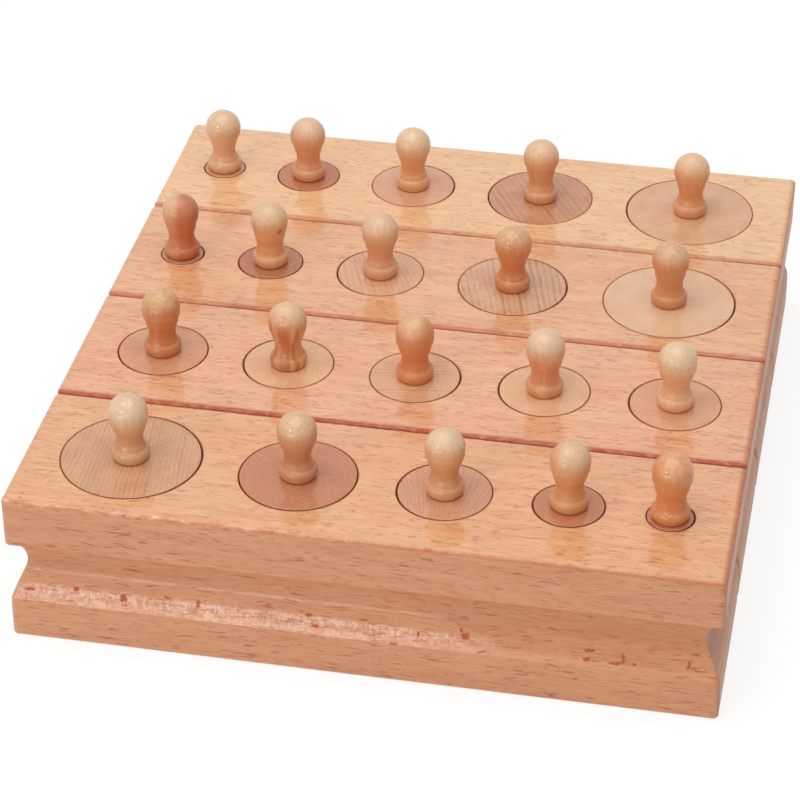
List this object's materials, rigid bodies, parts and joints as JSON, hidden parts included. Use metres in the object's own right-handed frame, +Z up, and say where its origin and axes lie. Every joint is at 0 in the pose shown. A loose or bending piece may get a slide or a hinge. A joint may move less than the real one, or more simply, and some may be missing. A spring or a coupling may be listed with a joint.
{
  "type": "knobbed cylinder block set",
  "caption": "Moulded wooden blocks side by side, with graded blind sockets that each hold a loose cylinder lifted by its turned knob.",
  "frame": {"origin": "on the resting plane, under the middle of the four blocks", "axes": "+Z up out of the sockets, +X along the blocks to the right, +Y from the front block to the back one"},
  "size_m": [0.177, 0.1908, 0.0599],
  "materials": {
    "beech": "lacquered beech, satin, fine dark flecks along the length",
    "beech_pink": "lacquered beech of a pinker board, satin",
    "honey_knob": "honey-coloured glossy lacquer on turned beech",
    "striped_grey": "plain sanded wood, grey-brown with stripes",
    "striped_dark": "plain sanded wood, dark brown with stripes",
    "red_brown": "plain sanded wood, reddish brown",
    "dusky_pink": "plain sanded wood, greyish pink",
    "pale_pink": "plain sanded wood, pale pinkish beige",
    "cream": "plain sanded wood, cream"
  },
  "bodies": {
    "block_a": {"block_a": "beech"},
    "block_b": {"block_b": "beech_pink"},
    "block_c": {"block_c": "beech_pink"},
    "block_d": {"block_d": "beech"},
    "knobbed_a1": {"cylinder_a1": "striped_grey", "knob_a1": "honey_knob"},
    "knobbed_a2": {"cylinder_a2": "red_brown", "knob_a2": "honey_knob"},
    "knobbed_a3": {"cylinder_a3": "dusky_pink", "knob_a3": "honey_knob"},
    "knobbed_a4": {"cylinder_a4": "red_brown", "knob_a4": "honey_knob"},
    "knobbed_a5": {"cylinder_a5": "red_brown", "knob_a5": "honey_knob"},
    "knobbed_b1": {"cylinder_b1": "pale_pink", "knob_b1": "honey_knob"},
    "knobbed_b2": {"cylinder_b2": "cream", "knob_b2": "honey_knob"},
    "knobbed_b3": {"cylinder_b3": "dusky_pink", "knob_b3": "honey_knob"},
    "knobbed_b4": {"cylinder_b4": "cream", "knob_b4": "honey_knob"},
    "knobbed_b5": {"cylinder_b5": "dusky_pink", "knob_b5": "honey_knob"},
    "knobbed_c1": {"cylinder_c1": "red_brown", "knob_c1": "honey_knob"},
    "knobbed_c2": {"cylinder_c2": "red_brown", "knob_c2": "honey_knob"},
    "knobbed_c3": {"cylinder_c3": "striped_grey", "knob_c3": "honey_knob"},
    "knobbed_c4": {"cylinder_c4": "striped_grey", "knob_c4": "honey_knob"},
    "knobbed_c5": {"cylinder_c5": "pale_pink", "knob_c5": "honey_knob"},
    "knobbed_d1": {"cylinder_d1": "pale_pink", "knob_d1": "honey_knob"},
    "knobbed_d2": {"cylinder_d2": "red_brown", "knob_d2": "honey_knob"},
    "knobbed_d3": {"cylinder_d3": "dusky_pink", "knob_d3": "honey_knob"},
    "knobbed_d4": {"cylinder_d4": "striped_dark", "knob_d4": "honey_knob"},
    "knobbed_d5": {"cylinder_d5": "pale_pink", "knob_d5": "honey_knob"}
  },
  "joints": [
    {"name": "pull_b_from_a", "type": "slide", "parent": "block_a", "child": "block_b", "axis": [0, 1, 0], "range_m": [0, 0.03]},
    {"name": "pull_c_from_b", "type": "slide", "parent": "block_b", "child": "block_c", "axis": [0, 1, 0], "range_m": [0, 0.03]},
    {"name": "pull_d_from_c", "type": "slide", "parent": "block_c", "child": "block_d", "axis": [0, 1, 0], "range_m": [0, 0.03]},
    {"name": "lift_a1", "type": "slide", "parent": "block_a", "child": "knobbed_a1", "axis": [0, 0, 1], "range_m": [0, 0.015]},
    {"name": "lift_a2", "type": "slide", "parent": "block_a", "child": "knobbed_a2", "axis": [0, 0, 1], "range_m": [0, 0.021]},
    {"name": "lift_a3", "type": "slide", "parent": "block_a", "child": "knobbed_a3", "axis": [0, 0, 1], "range_m": [0, 0.027]},
    {"name": "lift_a4", "type": "slide", "parent": "block_a", "child": "knobbed_a4", "axis": [0, 0, 1], "range_m": [0, 0.033]},
    {"name": "lift_a5", "type": "slide", "parent": "block_a", "child": "knobbed_a5", "axis": [0, 0, 1], "range_m": [0, 0.039]},
    {"name": "lift_b1", "type": "slide", "parent": "block_b", "child": "knobbed_b1", "axis": [0, 0, 1], "range_m": [0, 0.039]},
    {"name": "lift_b2", "type": "slide", "parent": "block_b", "child": "knobbed_b2", "axis": [0, 0, 1], "range_m": [0, 0.033]},
    {"name": "lift_b3", "type": "slide", "parent": "block_b", "child": "knobbed_b3", "axis": [0, 0, 1], "range_m": [0, 0.027]},
    {"name": "lift_b4", "type": "slide", "parent": "block_b", "child": "knobbed_b4", "axis": [0, 0, 1], "range_m": [0, 0.021]},
    {"name": "lift_b5", "type": "slide", "parent": "block_b", "child": "knobbed_b5", "axis": [0, 0, 1], "range_m": [0, 0.015]},
    {"name": "lift_c1", "type": "slide", "parent": "block_c", "child": "knobbed_c1", "axis": [0, 0, 1], "range_m": [0, 0.027]},
    {"name": "lift_c2", "type": "slide", "parent": "block_c", "child": "knobbed_c2", "axis": [0, 0, 1], "range_m": [0, 0.027]},
    {"name": "lift_c3", "type": "slide", "parent": "block_c", "child": "knobbed_c3", "axis": [0, 0, 1], "range_m": [0, 0.027]},
    {"name": "lift_c4", "type": "slide", "parent": "block_c", "child": "knobbed_c4", "axis": [0, 0, 1], "range_m": [0, 0.027]},
    {"name": "lift_c5", "type": "slide", "parent": "block_c", "child": "knobbed_c5", "axis": [0, 0, 1], "range_m": [0, 0.027]},
    {"name": "lift_d1", "type": "slide", "parent": "block_d", "child": "knobbed_d1", "axis": [0, 0, 1], "range_m": [0, 0.015]},
    {"name": "lift_d2", "type": "slide", "parent": "block_d", "child": "knobbed_d2", "axis": [0, 0, 1], "range_m": [0, 0.021]},
    {"name": "lift_d3", "type": "slide", "parent": "block_d", "child": "knobbed_d3", "axis": [0, 0, 1], "range_m": [0, 0.027]},
    {"name": "lift_d4", "type": "slide", "parent": "block_d", "child": "knobbed_d4", "axis": [0, 0, 1], "range_m": [0, 0.033]},
    {"name": "lift_d5", "type": "slide", "parent": "block_d", "child": "knobbed_d5", "axis": [0, 0, 1], "range_m": [0, 0.039]}
  ]
}
